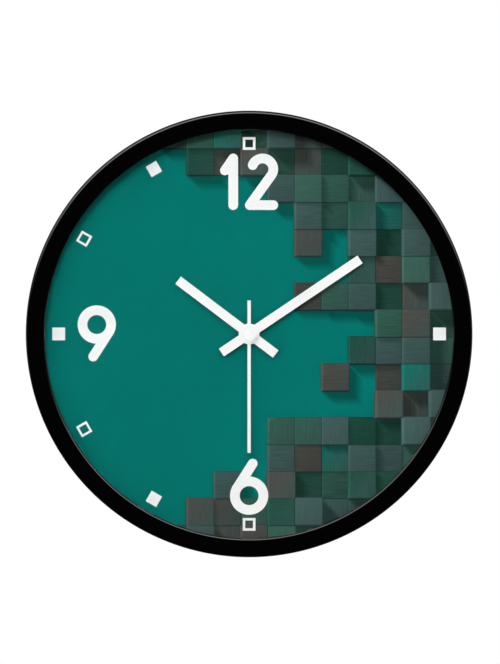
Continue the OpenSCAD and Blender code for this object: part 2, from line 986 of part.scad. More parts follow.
module controller_chip() {
    blob_r = 2;
    blob_h = 0.9;
    dome_r = (blob_r * blob_r + blob_h * blob_h) / (2 * blob_h);
    color([0.05, 0.05, 0.05])
        upright()
            translate([board_left + blob_r + 1, (board_low + board_high) / 2, z_board + board_t])
                rotate_extrude()
                    intersection() {
                        translate([0, blob_h - dome_r])
                            circle(dome_r);
                        square([blob_r, blob_h]);
                    }
}

// Strip against a side wall: battery plate, leg past the partition and a foot on the board
module side_strip(foot_y, z_foot) {
    translate([room_half_w - strip_t, 0, 0])
        rotate([90, 0, 90])
            linear_extrude(strip_t) {
                translate([bay_low + strip_in, z_room + strip_in])
                    square([bay_high - bay_low - strip_in, z_inner - z_room - 1.5 * strip_in]);
                translate([bay_high - cut, z_leg])
                    square([foot_y - bay_high + cut, leg_w]);
                translate([foot_y - leg_w, z_foot])
                    square([leg_w, z_leg - z_foot + cut]);
            }
}

module contact_positive() {
    color([0.78, 0.78, 0.76])
        upright()
            side_strip(board_high - board_clear, z_board);
}

module contact_negative() {
    bow_h = 9;
    bow_out = spring_room - 2 * cell_play;
    bow_r = (pow(bow_h / 2, 2) + pow(bow_out, 2)) / (2 * bow_out);
    color([0.78, 0.78, 0.76])
        upright() {
            mirror([1, 0, 0])
                side_strip(board_high + strip_t, z_leg);
            block(
                [-room_half_w, board_high, z_leg],
                [board_left + leg_w, board_high + strip_t, z_leg + leg_w]
            );
            block(
                [board_left, board_high, z_board],
                [board_left + leg_w, board_high + strip_t, z_leg + cut]
            );
            translate([-room_half_w + strip_t, battery_y, battery_z - leg_w / 2])
                linear_extrude(leg_w)
                    intersection() {
                        translate([bow_out - bow_r, 0])
                            difference() {
                                circle(bow_r);
                                circle(bow_r - strip_t);
                            }
                        translate([-0.01, -bow_h])
                            square([bow_h, 2 * bow_h]);
                    }
        }
}

module rotor() {
    color([0.35, 0.33, 0.32])
        upright()
            at(rotor_pos, 0) {
                translate([0, 0, z_pivot])
                    cylinder(r = pivot_r, h = z_plate_front - land - z_pivot);
                translate([0, 0, z_step - pinion_over])
                    gear(rotor_teeth, step_module, wheel_t + 2 * pinion_over, rotor_turn);
                translate([0, 0, z_stator - magnet_over])
                    cylinder(d = magnet_d, h = iron_t + 2 * magnet_over);
            }
}

module step_wheel() {
    color([0.9, 0.88, 0.8])
        upright()
            at(step_pos, 0)
                difference() {
                    union() {
                        translate([0, 0, z_step])
                            wheel(step_teeth, step_module, 0, bearing_r + web_hub);
                        translate([0, 0, z_step + wheel_t / 2])
                            gear(step_pinion_teeth, second_module, pinion_h, step_pinion_turn);
                    }
                    translate([0, 0, z_step - cut])
                        cylinder(r = bearing_r, h = level + 2 * wheel_t + 2 * cut);
                }
}

module second_wheel() {
    color([0.86, 0.86, 0.82])
        upright() {
            translate([0, 0, z_pivot])
                cylinder(r = second_r, h = z_second_end - hand_t - z_pivot);
            translate([0, 0, z_second])
                wheel(second_teeth, second_module, 0, second_r + web_hub);
            translate([0, 0, z_second + wheel_t / 2])
                gear(second_pinion_teeth, third_module, level + wheel_t / 2 + land, 0);
        }
}

module third_wheel() {
    color([0.9, 0.88, 0.8])
        upright()
            at(third_pos, 0) {
                translate([0, 0, z_pivot])
                    cylinder(r = pivot_r, h = z_plate_front - land - z_pivot);
                translate([0, 0, z_third])
                    wheel(third_teeth, third_module, third_turn, pivot_r + web_hub);
                translate([0, 0, z_third + wheel_t / 2])
                    gear(third_pinion_teeth, centre_module, pinion_h, 0);
            }
}

module centre_wheel() {
    color([0.86, 0.84, 0.76])
        upright()
            translate([0, 0, z_centre])
                difference() {
                    wheel(centre_teeth, centre_module, centre_turn, minute_r + web_hub);
                    translate([0, 0, -cut])
                        cylinder(r = minute_r + shaft_gap, h = wheel_t + 2 * cut);
                }
}

module cannon_pinion() {
    rear = z_centre - level_gap / 2;
    collar_t = 0.2;
    collar_w = 0.4;
    color([0.8, 0.68, 0.38])
        upright()
            difference() {
                union() {
                    translate([0, 0, rear])
                        cylinder(r = minute_r, h = z_minute_end - rear);
                    translate([0, 0, rear])
                        cylinder(r = minute_r + collar_w, h = collar_t);
                    translate([0, 0, z_minute - pinion_over])
                        gear(cannon_teeth, motion_module, wheel_t + 2 * pinion_over, 0);
                }
                translate([0, 0, rear - cut])
                    cylinder(r = second_r + shaft_gap, h = z_minute_end - rear + 2 * cut);
            }
}

module minute_wheel() {
    color([0.9, 0.88, 0.8])
        upright()
            at(minute_pos, 0)
                difference() {
                    union() {
                        translate([0, 0, z_minute])
                            wheel(minute_teeth, motion_module, minute_turn, bearing_r + web_hub);
                        translate([0, 0, z_minute + wheel_t / 2])
                            gear(minute_pinion_teeth, hour_module, pinion_h, 0);
                    }
                    translate([0, 0, z_minute - cut])
                        cylinder(r = bearing_r, h = level + 2 * wheel_t + 2 * cut);
                }
}

module hour_wheel() {
    color([0.82, 0.8, 0.7])
        upright()
            difference() {
                union() {
                    translate([0, 0, z_hour])
                        wheel(hour_teeth, hour_module, hour_turn, minute_r + web_hub);
                    translate([0, 0, z_hour])
                        cylinder(r = hour_r, h = z_hour_end - z_hour);
                }
                translate([0, 0, z_hour - cut])
                    cylinder(r = minute_r + shaft_gap, h = z_hour_end - z_hour + 2 * cut);
            }
}

// Knurled outline of the setting knob
module knob_outline() {
    flutes = 30;
    flute_r = 0.45;
    difference() {
        circle(d = knob_d);
        for (i = [0:flutes - 1])
            translate(polar(knob_d / 2 + flute_r / 2, 360 * i / flutes))
                circle(flute_r);
    }
}

module setting_knob() {
    color([0.13, 0.13, 0.14])
        upright()
            at(knob_pos, 0) {
                translate([0, 0, z_knob])
                    linear_extrude(knob_t)
                        knob_outline();
                translate([0, 0, z_knob + knob_t / 2])
                    cylinder(r = knob_stem_r, h = z_minute - z_knob - knob_t / 2);
                translate([0, 0, z_minute - pinion_over])
                    gear(knob_teeth, motion_module, wheel_t + 2 * pinion_over, knob_turn);
                translate([0, 0, z_minute])
                    cylinder(r = pivot_r, h = z_inner - z_minute - end_play);
            }
}

// Stamped hand: a bar with square ends, a tail and a round hub with a hole
module hand(length, width, hub, hole_r, angle) {
    linear_extrude(hand_t)
        rotate(-angle)
            difference() {
                union() {
                    translate([-width / 2, -tail_len])
                        square([width, tail_len + length]);
                    circle(d = hub);
                }
                circle(hole_r);
            }
}

// Riveted collet: a short tube with a flange under the hand
module collet(inner) {
    ring(inner + collet_wall, inner, collet_t);
    ring(inner + collet_wall + collet_over, inner, collet_flange);
}

module hour_hand() {
    color([0.96, 0.96, 0.95])
        upright()
            translate([0, 0, z_hour_hand])
                hand(hour_len, hand_w, hub_d, hour_r + collet_wall, hour_at);
}

module hour_collet() {
    color([0.8, 0.68, 0.38])
        upright()
            translate([0, 0, z_hour_collet])
                collet(hour_r);
}

module minute_hand() {
    color([0.96, 0.96, 0.95])
        upright()
            translate([0, 0, z_minute_hand])
                hand(minute_len, hand_w, hub_d, minute_r + collet_wall, minute_at);
}

module minute_collet() {
    color([0.8, 0.68, 0.38])
        upright()
            translate([0, 0, z_minute_collet])
                collet(minute_r);
}

module second_hand() {
    color([0.96, 0.96, 0.95])
        upright()
            translate([0, 0, z_second_hand])
                hand(second_len, second_w, second_hub_d, second_r + second_tube_wall, second_at);
}

module second_tube() {
    color([0.8, 0.68, 0.38])
        upright()
            translate([0, 0, z_second_tube])
                ring(second_r + second_tube_wall, second_r, second_tube_len);
}

module second_cap() {
    dome_r = (cap_d * cap_d / 4 + cap_h * cap_h) / (2 * cap_h);
    color([0.97, 0.97, 0.96])
        upright()
            translate([0, 0, z_second_end])
                rotate_extrude()
                    intersection() {
                        translate([0, cap_h - dome_r])
                            circle(dome_r);
                        square([cap_d / 2, cap_h]);
                    }
}

module battery() {
    nub_d = 5.5;
    nub_len = 1;
    edge = 0.8;
    start = room_half_w - strip_t - battery_len - cell_play;
    body = battery_len - nub_len;
    color([0.25, 0.27, 0.3])
        upright()
            translate([start, battery_y, battery_z])
                rotate([0, 90, 0]) {
                    rotate_extrude() {
                        square([battery_d / 2 - edge, body]);
                        translate([0, edge])
                            square([battery_d / 2, body - 2 * edge]);
                        for (z = [edge, body - edge])
                            translate([battery_d / 2 - edge, z])
                                circle(edge);
                    }
                    cylinder(d = nub_d, h = battery_len);
                }
}

bezel();
lens();
spacer_ring();
dial();
back_pan();
pan_screws();
rubber_washer();
nut_washer();
centre_nut();
centre_bush();
movement_case();
movement_cover();
wheel_plate();
stator();
coil_core();
coil_bobbin();
coil_winding();
circuit_board();
quartz_crystal();
controller_chip();
contact_positive();
contact_negative();
rotor();
step_wheel();
second_wheel();
third_wheel();
centre_wheel();
cannon_pinion();
minute_wheel();
hour_wheel();
setting_knob();
hour_hand();
hour_collet();
minute_hand();
minute_collet();
second_hand();
second_tube();
second_cap();
battery();
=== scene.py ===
"""Looks of a round wall clock, laid over its packed mechanical model."""

import math

import bmesh
import bpy
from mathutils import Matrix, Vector


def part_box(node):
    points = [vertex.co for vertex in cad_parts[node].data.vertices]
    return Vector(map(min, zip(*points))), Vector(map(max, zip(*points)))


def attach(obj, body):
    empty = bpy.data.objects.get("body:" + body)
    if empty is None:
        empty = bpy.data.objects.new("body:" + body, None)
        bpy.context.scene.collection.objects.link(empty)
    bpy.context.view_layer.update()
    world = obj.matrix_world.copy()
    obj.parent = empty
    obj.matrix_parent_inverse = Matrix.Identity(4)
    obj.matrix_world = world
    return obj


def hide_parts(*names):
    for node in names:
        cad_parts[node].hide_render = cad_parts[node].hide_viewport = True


bl_info = {
    "name": "Wall Clock Looks",
    "version": (1, 0, 0),
    "blender": (4, 5, 0),
    "location": "View3D > Sidebar > Wall Clock",
    "description": "Prints the dial, turns the bezel and finishes every part of a round wall clock",
    "category": "Object",
}

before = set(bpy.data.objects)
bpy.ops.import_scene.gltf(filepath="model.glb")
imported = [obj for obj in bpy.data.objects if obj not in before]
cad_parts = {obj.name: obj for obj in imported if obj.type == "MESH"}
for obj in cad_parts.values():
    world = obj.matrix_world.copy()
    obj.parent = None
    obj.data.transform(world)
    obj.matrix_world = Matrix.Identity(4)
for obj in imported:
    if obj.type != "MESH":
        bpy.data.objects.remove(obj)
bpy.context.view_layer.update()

DIAL_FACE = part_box("dial")[0].y
DIAL_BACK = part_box("dial")[1].y
CASE_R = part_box("bezel")[1].x
CASE_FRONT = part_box("bezel")[0].y

# Thickness of the bezel's lip, and of the slab that a numeral is cut from
LIP_T = 0.002
SLAB = 0.004
# Share of the ink's thickness that lies in the sheet
SUNK = 0.25
# Points closer than this are one point, and edges that turn further than this stay sharp
SAME_POINT = 1e-7
SHARP = math.radians(35)


def tone(red, green, blue):
    """Linear colour from display values between 0 and 255."""
    shares = (red / 255, green / 255, blue / 255)
    return tuple(s / 12.92 if s <= 0.04045 else ((s + 0.055) / 1.055) ** 2.4 for s in shares)


def colour(label, about, default):
    """Colour setting with its label."""
    return bpy.props.FloatVectorProperty(
        name=label, description=about, subtype="COLOR", size=3, min=0, max=1, default=default
    )


def length(label, about, default):
    """Length setting in metres."""
    return bpy.props.FloatProperty(
        name=label, description=about, default=default, min=0, unit="LENGTH", precision=5
    )


def share(label, about, default, top=1.0):
    """Plain number from zero to a top value."""
    return bpy.props.FloatProperty(name=label, description=about, default=default, min=0, max=top)


class ClockDialSettings(bpy.types.PropertyGroup):
    """Print on the dial"""

    ground: colour("Ground", "Plain part of the dial", tone(3, 105, 97))
    ink: colour("Ink", "White of the numerals and hour marks", (0.93, 0.925, 0.92))
    card: colour("Card", "Bare back of the dial", tone(196, 192, 182))
    brown: colour("Brown block", "Greyest of the block colours", tone(67, 65, 61))
    grey: colour("Grey block", "Block of grey with some teal", tone(54, 76, 74))
    green: colour("Green block", "Block of greenish teal", tone(46, 81, 70))
    teal: colour("Teal block", "Block nearest to the ground", tone(16, 91, 82))
    dark: colour("Dark block", "Darkest of the block colours", tone(28, 66, 55))
    pitch: length("Block pitch", "Distance from one block to the next", 0.0182)
    fill_edge: length("Fill edge", "Distance from the centre to the first blocks, level with it", 0.075)
    fill_bow: share("Fill bow", "How fast the blocks spread to the left towards top and bottom", 7.5, 20)
    ragged: length("Ragged edge", "Width over which blocks thin out", 0.062)
    shadow_slope: share("Shadow slope", "How fast a block's shadow ends, more for shorter ones", 0.95, 10)
    wall_w: share("Wall width", "Share of a block's pitch that the wall of a tall block takes", 0.12)
    spread: share("Spread", "Share of a block's pitch by which a tall block covers a low one", 0.07)
    print_t: length("Ink thickness", "Height of the numerals and marks over the dial", 0.00008)
    stroke_w: length("Stroke width", "Width of a numeral's stroke", 0.0065)
    mark_circle: length("Mark circle", "Distance of the hour marks from the centre", 0.1286)
    quarter_mark: length("Quarter mark", "Side of the marks at 12, 3, 6 and 9", 0.0086)
    hour_mark: length("Hour mark", "Side of the other marks", 0.0081)
    quarter_line: length("Quarter line", "Line of an open quarter mark", 0.0017)
    hour_line: length("Hour line", "Line of another open mark", 0.00145)


class ClockFinishSettings(bpy.types.PropertyGroup):
    """Colours of the case and the movement"""

    gloss_black: colour("Gloss black", "Bezel", (0.0007, 0.0007, 0.0008))
    satin_black: colour("Satin black", "Spacer ring", (0.012, 0.012, 0.0125))
    pan_black: colour("Pan black", "Back pan", (0.022, 0.022, 0.024))
    movement_black: colour("Movement black", "Movement case and cover", (0.030, 0.030, 0.033))
    knob_grey: colour("Knob grey", "Setting knob", (0.055, 0.055, 0.06))
    hand_white: colour("Hand white", "Lacquer of the hands", (0.92, 0.915, 0.91))
    nylon: colour("Nylon", "Moulded wheels", (0.78, 0.76, 0.68))
    brass: colour("Brass", "Bush, nut and collets", (0.80, 0.58, 0.24))
    zinc: colour("Zinc", "Plated screws", (0.62, 0.63, 0.65))
    copper: colour("Copper", "Enamelled wire", (0.62, 0.24, 0.09))
    board: colour("Board", "Circuit board", (0.03, 0.16, 0.06))
    jacket: colour("Cell jacket", "Sleeve of the battery", (0.035, 0.045, 0.055))
    band: colour("Cell band", "Band at the positive end of the battery", (0.70, 0.36, 0.12))


class ClockStageSettings(bpy.types.PropertyGroup):
    """Camera, lights and floor"""

    camera_away: length("Camera distance", "From the front of the bezel to the camera", 2.4745)
    camera_lens: share("Lens", "Focal length in millimetres", 200, 400)
    key_watts: share("Key light", "Soft lamp in front, above and to the left", 14.6, 200)
    strip_glow: share("Strip glow", "Long soft strip above the clock, seen in its gloss only", 7, 40)
    back_watts: share("Back light", "Soft lamp behind the clock", 20, 200)
    ambient: share("Ambient", "Even light from all around", 0.5)
    floor_drop: length("Floor drop", "From the clock's centre down to the floor", 0.8)
    floor_tone: colour("Floor", "Pale floor", (0.86, 0.86, 0.85))


class Value:
    """Output of a shader node that takes part in arithmetic."""

    def __init__(self, finish, socket):
        self.finish = finish
        self.socket = socket

    def also(self, output):
        """Another output of the same node."""
        return Value(self.finish, self.socket.node.outputs[output])

    def step(self, operation, other=None, flip=False):
        """One Math node on this value and another."""
        terms = [self] if other is None else ([other, self] if flip else [self, other])
        return self.finish.node("ShaderNodeMath", {"operation": operation}, dict(enumerate(terms)))

    def __add__(self, other):
        return self.step("ADD", other)

    __radd__ = __add__

    def __sub__(self, other):
        return self.step("SUBTRACT", other)

    def __rsub__(self, other):
        return self.step("SUBTRACT", other, True)

    def __mul__(self, other):
        return self.step("MULTIPLY", other)

    __rmul__ = __mul__

    def __truediv__(self, other):
        return self.step("DIVIDE", other)

    def __gt__(self, other):
        return self.step("GREATER_THAN", other)

    def __lt__(self, other):
        return self.step("LESS_THAN", other)

    def __abs__(self):
        return self.step("ABSOLUTE")

    def floor(self):
        return self.step("FLOOR")

    def most(self, other):
        return self.step("MAXIMUM", other)

    def least(self, other):
        return self.step("MINIMUM", other)

    def clamped(self):
        """Value held between zero and one."""
        return self.finish.node("ShaderNodeClamp", {}, {"Value": self})

    def rising(self, start, end):
        """Zero up to a start, then rising to one at an end."""
        return ((self - start) / (end - start)).clamped()


class Finish:
    """Node tree of one material, or of the world."""

    def __init__(self, name, owner=None):
        self.owner = owner or bpy.data.materials.new(name)
        self.owner.use_nodes = True
        self.tree = self.owner.node_tree
        self.tree.nodes.clear()

    def node(self, kind, settings, sockets, output=0):
        """Adds a node with its settings, then the values or links of its sockets."""
        made = self.tree.nodes.new(kind)
        for setting, value in settings.items():
            if setting == "stops":
                ramp = made.color_ramp
                while len(ramp.elements) < len(value):
                    ramp.elements.new(1.0)
                for element, (place, shade) in zip(ramp.elements, value):
                    element.position = place
                    element.color = (*shade, 1.0)
            elif setting == "ramp_interpolation":
                made.color_ramp.interpolation = value
            else:
                setattr(made, setting, value)
        for socket, value in sockets.items():
            target = made.inputs[socket]
            if isinstance(value, Value):
                self.tree.links.new(value.socket, target)
            elif target.type == "RGBA":
                target.default_value = (*tuple(value)[:3], 1.0)
            else:
                target.default_value = value
        return Value(self, made.outputs[output]) if made.outputs else made

    def place(self):
        """Object coordinates as a vector."""
        return self.node("ShaderNodeTexCoord", {}, {}, "Object")

    def axes(self, vector):
        """Three parts of a vector."""
        first = self.node("ShaderNodeSeparateXYZ", {}, {0: vector})
        return first, first.also("Y"), first.also("Z")

    def scaled(self, vector, by):
        """Vector stretched along each axis."""
        return self.node("ShaderNodeVectorMath", {"operation": "MULTIPLY"}, {0: vector, 1: by})

    def noise(self, vector, scale, detail=2.0, rough=0.5):
        """Cloudy noise around one half."""
        return self.node(
            "ShaderNodeTexNoise",
            {"noise_dimensions": "3D"},
            {"Vector": vector, "Scale": scale, "Detail": detail, "Roughness": rough},
        )

    def mixed(self, factor, first, second, kind="MIX"):
        """Colour between two."""
        return self.node(
            "ShaderNodeMix",
            {"data_type": "RGBA", "blend_type": kind, "clamp_factor": True},
            {0: factor, 6: first, 7: second},
            2,
        )

    def bump(self, height, depth):
        """Surface normal over a height map whose full range is depth metres."""
        return self.node("ShaderNodeBump", {}, {"Strength": 1.0, "Distance": depth, "Height": height})

    def skin(self, **sockets):
        """Closes the material with one physical surface shader."""
        named = {name.replace("_", " "): value for name, value in sockets.items()}
        surface = self.node("ShaderNodeBsdfPrincipled", {}, named)
        self.node("ShaderNodeOutputMaterial", {}, {"Surface": surface})
        return self.owner


def moulded(name, shade, rough, grain, grain_size, spread=0.06):
    """Injection moulded plastic: eroded grain, cloudy sheen and slight flow marks."""
    f = Finish(name)
    place = f.place()
    spark = f.noise(place, 1 / grain_size, detail=3.0, rough=0.6)
    cloud = f.noise(place, 22.0, detail=3.0)
    flow = f.noise(f.scaled(place, (9.0, 30.0, 60.0)), 1.0)
    paler = [c * 1.35 + 0.002 for c in shade]
    return f.skin(
        Base_Color=f.mixed((cloud * 0.5 + flow * 0.5 - 0.35).clamped(), shade, paler),
        Roughness=(cloud - 0.5) * spread * 2 + (spark - 0.5) * spread + rough,
        Specular_IOR_Level=0.5,
        Normal=f.bump(spark, grain),
    )


def metal(name, shade, rough, lines, line_depth):
    """Bare or plated metal with faint stains and drawn lines, finest along the axis of largest scale."""
    f = Finish(name)
    place = f.place()
    drawn = f.noise(f.scaled(place, lines), 1.0, detail=3.0, rough=0.6)
    stain = f.noise(place, 240.0, detail=4.0, rough=0.6)
    dull = [c * 0.72 for c in shade]
    return f.skin(
        Base_Color=f.mixed((stain - 0.35) * 1.6 + (drawn - 0.5) * 0.5, dull, shade),
        Metallic=1.0,
        Roughness=(stain - 0.5) * 0.25 + (drawn - 0.5) * 0.12 + rough,
        Normal=f.bump(drawn, line_depth),
    )


def dress(material, *nodes):
    """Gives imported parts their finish."""
    for name in nodes:
        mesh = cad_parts[name].data
        mesh.materials.clear()
        mesh.materials.append(material)


def fresh():
    """Clears the selection before something is added."""
    if bpy.context.mode != "OBJECT":
        bpy.ops.object.mode_set(mode="OBJECT")
    bpy.ops.object.select_all(action="DESELECT")


def pick(piece):
    """Leaves one object selected and active."""
    fresh()
    piece.select_set(True)
    bpy.context.view_layer.objects.active = piece


def settle(name):
    """Names the active object and moves its place into its mesh."""
    piece = bpy.context.object
    piece.name = name
    piece.data.name = name
    bpy.ops.object.transform_apply(location=True, rotation=True, scale=True)
    return piece


def select_verts(piece, test):
    """Selects the vertices that pass a test, in edit mode."""
    bpy.ops.mesh.select_mode(type="VERT")
    mesh = bmesh.from_edit_mesh(piece.data)
    for vert in mesh.verts:
        vert.select_set(False)
    for vert in mesh.verts:
        if test(vert.co):
            vert.select_set(True)
    mesh.select_flush_mode()
    bmesh.update_edit_mesh(piece.data)


def outward(piece):
    """Merges doubles and points the faces outwards."""
    pick(piece)
    bpy.ops.object.mode_set(mode="EDIT")
    bpy.ops.mesh.select_all(action="SELECT")
    bpy.ops.mesh.remove_doubles(threshold=SAME_POINT)
    bpy.ops.mesh.normals_make_consistent(inside=False)
    bpy.ops.object.mode_set(mode="OBJECT")


def hang(piece, material):
    """Gives a new piece its material and its slot, and fixes it to the case."""
    piece.data.materials.clear()
    piece.data.materials.append(material)
    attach(piece, "case")


def stroke(start, end, width):
    """Straight stroke with round ends, as a slab through the dial's face."""
    fresh()
    sides = 48
    origin = Vector((start[0], DIAL_FACE, start[1]))
    run = Vector((end[0] - start[0], 0, end[1] - start[1]))
    lean = math.atan2(run.z, run.x)
    bpy.ops.mesh.primitive_cylinder_add(
        vertices=sides,
        radius=width / 2,
        depth=SLAB,
        location=origin,
        rotation=(math.pi / 2, -lean + math.pi / sides, 0),
    )
    piece = settle("stroke")
    bpy.ops.object.mode_set(mode="EDIT")
    select_verts(piece, lambda co: (co - origin).dot(run) > 0)
    bpy.ops.transform.translate(value=run)
    bpy.ops.object.mode_set(mode="OBJECT")
    return piece


def bow(centre, radius, start, end, width):
    """Curved stroke with flat ends, between two angles in degrees, counterclockwise from the right."""
    fresh()
    at = math.radians(start)
    turn = math.radians(end - start)
    facet = 4
    # Thicker than a straight stroke, so that no two faces of a union coincide
    slab = SLAB * 1.2
    bpy.ops.mesh.primitive_plane_add(
        size=1,
        location=(centre[0] + radius * math.cos(at), DIAL_FACE, centre[1] + radius * math.sin(at)),
        rotation=(0, -at, 0),
    )
    bpy.context.object.scale = (width, slab, 1)
    piece = settle("bow")
    bpy.ops.object.mode_set(mode="EDIT")
    bpy.ops.mesh.select_all(action="SELECT")
    bpy.ops.mesh.spin(
        steps=int((end - start) / facet),
        angle=turn,
        center=(centre[0], DIAL_FACE, centre[1]),
        axis=(0, 1, 0),
    )
    bpy.ops.object.mode_set(mode="OBJECT")
    outward(piece)
    return piece


def combined(whole, others, operation):
    """Adds other solids to one, or cuts them from it."""
    for other in others:
        pick(whole)
        change = whole.modifiers.new("change", "BOOLEAN")
        change.operation = operation
        change.solver = "EXACT"
        change.object = other
        bpy.ops.object.modifier_apply(modifier=change.name)
        bpy.data.objects.remove(other)
    pick(whole)


def peg(across, spot, near, far):
    """Round peg along the clock's axis, between two depths."""
    fresh()
    bpy.ops.mesh.primitive_cylinder_add(
        vertices=40,
        radius=across / 2,
        depth=far - near,
        location=(spot[0], (near + far) / 2, spot[1]),
        rotation=(math.pi / 2, 0, 0),
    )
    return settle("peg")


def united(name, strokes, thickness):
    """Joins strokes into one flat numeral that lies on the dial, sunk into it a little."""
    whole = strokes[0]
    combined(whole, strokes[1:], "UNION")
    top, foot = DIAL_FACE - thickness, DIAL_FACE + thickness * SUNK
    bpy.ops.object.mode_set(mode="EDIT")
    for at, inner in ((top, True), (foot, False)):
        bpy.ops.mesh.select_all(action="SELECT")
        bpy.ops.mesh.bisect(
            plane_co=(0, at, 0),
            plane_no=(0, 1, 0),
            use_fill=True,
            clear_inner=inner,
            clear_outer=not inner,
            threshold=SAME_POINT,
        )
    bpy.ops.object.mode_set(mode="OBJECT")
    outward(whole)
    whole.name = name
    whole.data.name = name
    if not whole.data.polygons:
        raise RuntimeError(f"{name} came out empty")
    return whole


def spun(name, section, steps):
    """Closed section of (radius, y) points spun round the clock's axis."""
    fresh()
    bpy.ops.mesh.primitive_plane_add(size=0.001, location=(*section[0], 0))
    piece = settle(name)
    bpy.ops.object.mode_set(mode="EDIT")
    bpy.ops.mesh.select_all(action="SELECT")
    bpy.ops.mesh.merge(type="CENTER")
    bpy.ops.mesh.select_all(action="SELECT")
    for before, after in zip(section, section[1:] + section[:1]):
        bpy.ops.mesh.extrude_region_move(
            TRANSFORM_OT_translate={"value": (after[0] - before[0], after[1] - before[1], 0)}
        )
    bpy.ops.mesh.select_all(action="SELECT")
    bpy.ops.mesh.remove_doubles(threshold=SAME_POINT)
    bpy.ops.mesh.select_all(action="SELECT")
    bpy.ops.mesh.spin(steps=steps, angle=math.tau, center=(0, 0, 0), axis=(0, 1, 0))
    bpy.ops.object.mode_set(mode="OBJECT")
    outward(piece)
    return piece


def rounding(centre, radius, start, end):
    """Points along a fillet, angles in degrees."""
    count = 12
    turns = [math.radians(start + (end - start) * n / count) for n in range(count + 1)]
    return [(centre[0] + radius * math.cos(t), centre[1] + radius * math.sin(t)) for t in turns]


class CLOCK_OT_dial(bpy.types.Operator):
    """Print the dial: plain ground on the left, raised-looking blocks on the right"""

    bl_idname = "clock.dial"
    bl_label = "Print Dial"

    def execute(self, context):
        sizes = context.scene.clock_dial
        start_x, start_z, layout = 0.31, 0.12, 4.0
        lowest, gather, contrast, upright_from = 0.2, 9.0, 2.4, 0.62
        f = Finish("dial_print")
        place = f.place()
        x, depth, z = f.axes(place)
        across = x / sizes.pitch + start_x
        up = z / sizes.pitch + start_z
        column, row = across.floor(), up.floor()

        def block(right, above):
            """Height, hue and shade of the block in a nearby cell, each drawn for that cell."""
            spot_x, spot_z = column + right, row + above
            spot = f.node("ShaderNodeCombineXYZ", {}, {"X": spot_x, "Y": spot_z, "Z": layout})
            chance = f.node("ShaderNodeTexWhiteNoise", {"noise_dimensions": "3D"}, {"Vector": spot}, "Value")
            first = f.node("ShaderNodeSeparateColor", {}, {0: chance.also("Color")})
            middle_x = (spot_x + (0.5 - start_x)) * sizes.pitch
            middle_z = (spot_z + (0.5 - start_z)) * sizes.pitch
            inside = middle_x - sizes.fill_edge + middle_z * middle_z * sizes.fill_bow
            there = (inside + (chance - 0.5) * sizes.ragged) > 0.0
            rise = (inside * gather + 0.5).clamped()
            tall = ((first - 0.5) * contrast + 0.5).clamped()
            height = there * (tall * rise * (1.0 - lowest) + lowest)
            return height, first.also("Green"), first.also("Blue")

        def around():
            """Heights on the left, right, top and bottom."""
            return [block(*way)[0] for way in ((-1, 0), (1, 0), (0, 1), (0, -1))]

        def over(near, far):
            """How far one block stands out over a lower one."""
            return (near - far).clamped() * sizes.spread

        # The cell under a point, or the taller neighbour that stands out over that point
        u, v = across - column, up - row
        height = block(0, 0)[0]
        left, right, top, below = around()
        sideways = (u > (1.0 - over(right, height))) - (u < over(left, height))
        upwards = (v > (1.0 - over(top, height))) - (v < over(below, height))
        upwards = upwards * (1.0 - abs(sideways))
        column, row = column + sideways, row + upwards
        u, v = across - column, up - row
        height, hue, shade = block(0, 0)
        left, right, top, below = around()
        corner = block(-1, 1)[0]

        # Shadows from the upper left
        slope, soft, crease = sizes.shadow_slope, 0.3, 5.0
        fall = 1.0 - v
        on_left = ((fall - u) * crease + 0.5).clamped()
        from_left = ((left - height - u * slope) / soft).clamped() * on_left
        from_top = ((top - height - fall * slope) / soft).clamped() * (1.0 - on_left)
        from_corner = ((corner - height - u.most(fall) * slope) / soft).clamped()
        shadow = from_left.most(from_top).most(from_corner)

        # Face of a block: its colour, wood grain, walls, bevels and seam
        palette = f.node(
            "ShaderNodeValToRGB",
            {
                "ramp_interpolation": "CONSTANT",
                "stops": [
                    (0.0, sizes.brown),
                    (0.28, sizes.grey),
                    (0.56, sizes.green),
                    (0.80, sizes.teal),
                    (0.90, sizes.dark),
                ],
            },
            {"Fac": hue},
        )
        coarse, fine = 70.0, 1300.0
        along = f.noise(f.scaled(place, (coarse, 1.0, fine)), 1.0, detail=3.0, rough=0.6)
        upright = f.noise(f.scaled(place, (fine, 1.0, coarse)), 1.0, detail=3.0, rough=0.6)
        turned = shade > upright_from
        grain = along * (1.0 - turned) + upright * turned
        bevel, seam, crisp, thinnest = 0.05, 0.02, 30.0, 0.001
        to_left, to_right = u + over(height, left), 1.0 - u + over(height, right)
        to_top, to_foot = fall + over(height, top), v + over(height, below)
        side_w = (height - left).clamped() * sizes.wall_w + thinnest
        under_w = (height - below).clamped() * sizes.wall_w + thinnest
        nearer = (to_left / side_w) < (to_foot / under_w)
        side = ((side_w - to_left) * crisp + 0.5).clamped() * nearer
        under = ((under_w - to_foot) * crisp + 0.5).clamped() * (1.0 - nearer)
        lit_edge = (1.0 - abs(to_left - side_w) / bevel).clamped().most(
            (1.0 - to_top / bevel).clamped() * ((height - top).clamped() * 0.7 + 0.3)
        )
        dull_edge = (1.0 - to_right / bevel).clamped() * ((height - right).clamped() + 0.2)
        by_height, by_shade, by_grain, by_place, base = 0.45, 0.25, 0.8, 0.12, 0.6
        lit = height * by_height + shade * by_shade + (grain - 0.5) * by_grain + (v - u) * by_place + base
        lit = lit + lit_edge * 0.42 - dull_edge * 0.5 + side * 0.25
        lit = lit * (1.0 - under * 0.6)
        drift = ((u - v) * 0.5 + 0.4).clamped() * shade
        hued = f.mixed(drift, palette, sizes.grey)
        light = f.node("ShaderNodeCombineColor", {}, {0: lit, 1: lit, 2: lit})
        faced = f.mixed(1.0, hued, light, "MULTIPLY")
        gap = to_left.least(to_right).least(to_top.least(to_foot)) < seam
        faced = f.mixed(gap * 0.6, faced, [c * 0.25 for c in sizes.dark])

